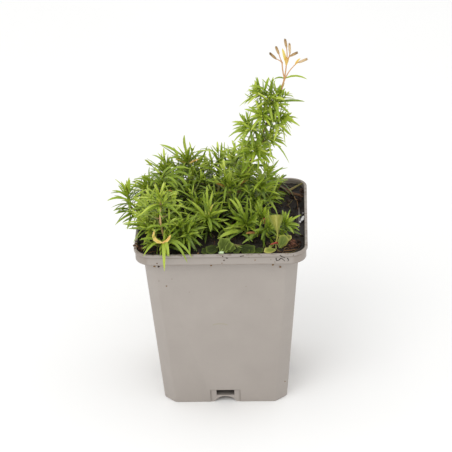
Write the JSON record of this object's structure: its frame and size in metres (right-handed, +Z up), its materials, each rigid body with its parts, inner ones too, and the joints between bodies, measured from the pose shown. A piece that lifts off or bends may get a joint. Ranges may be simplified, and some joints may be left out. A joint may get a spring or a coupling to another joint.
{
  "type": "potted creeping phlox",
  "caption": "Young creeping phlox with needle-leaved shoots and an old seed head, growing in a square plastic nursery pot filled with peat mix.",
  "frame": {"origin": "middle of the pot's flat underside", "axes": "+Z up, out of the pot; -Y towards the pot's front side; +X to the right as seen from the front"},
  "size_m": [0.1074, 0.0966, 0.1901],
  "materials": {
    "moulded_plastic": "warm grey moulded plastic, satin, scuffed and specked with dried soil",
    "peat_mix": null,
    "fresh_leaf": null,
    "deep_leaf": "older dark green leaves, satin",
    "dry_straw": "dry orange-tan stalks and pale brown seed cups, matte",
    "olive_leaf": "pale olive seedling leaves, satin"
  },
  "bodies": {
    "root": {"pot": "moulded_plastic", "seed_head": "dry_straw", "shoot_back_a": "deep_leaf", "shoot_back_b": "deep_leaf", "shoot_back_c": "deep_leaf", "shoot_back_d": "deep_leaf", "shoot_centre_a": "fresh_leaf", "shoot_centre_b": "fresh_leaf", "shoot_centre_c": "fresh_leaf", "shoot_centre_d": "fresh_leaf", "shoot_centre_e": "fresh_leaf", "shoot_front_a": "fresh_leaf", "shoot_front_b": "fresh_leaf", "shoot_front_c": "deep_leaf", "shoot_front_d": "fresh_leaf", "shoot_left_a": "fresh_leaf", "shoot_left_b": "fresh_leaf", "shoot_left_c": "deep_leaf", "shoot_left_d": "fresh_leaf", "shoot_left_e": "fresh_leaf", "shoot_left_f": "fresh_leaf", "shoot_low_a": "deep_leaf", "shoot_low_b": "deep_leaf", "shoot_low_c": "deep_leaf", "shoot_low_d": "deep_leaf", "shoot_low_e": "deep_leaf", "shoot_low_f": "deep_leaf", "shoot_mid_a": "fresh_leaf", "shoot_mid_b": "fresh_leaf", "shoot_mid_c": "fresh_leaf", "shoot_mid_d": "fresh_leaf", "shoot_mid_e": "fresh_leaf", "shoot_mid_f": "fresh_leaf", "shoot_tall": "fresh_leaf", "soil": "peat_mix", "weed_creeper": "deep_leaf", "weed_seedling": "olive_leaf"}
  },
  "joints": []
}
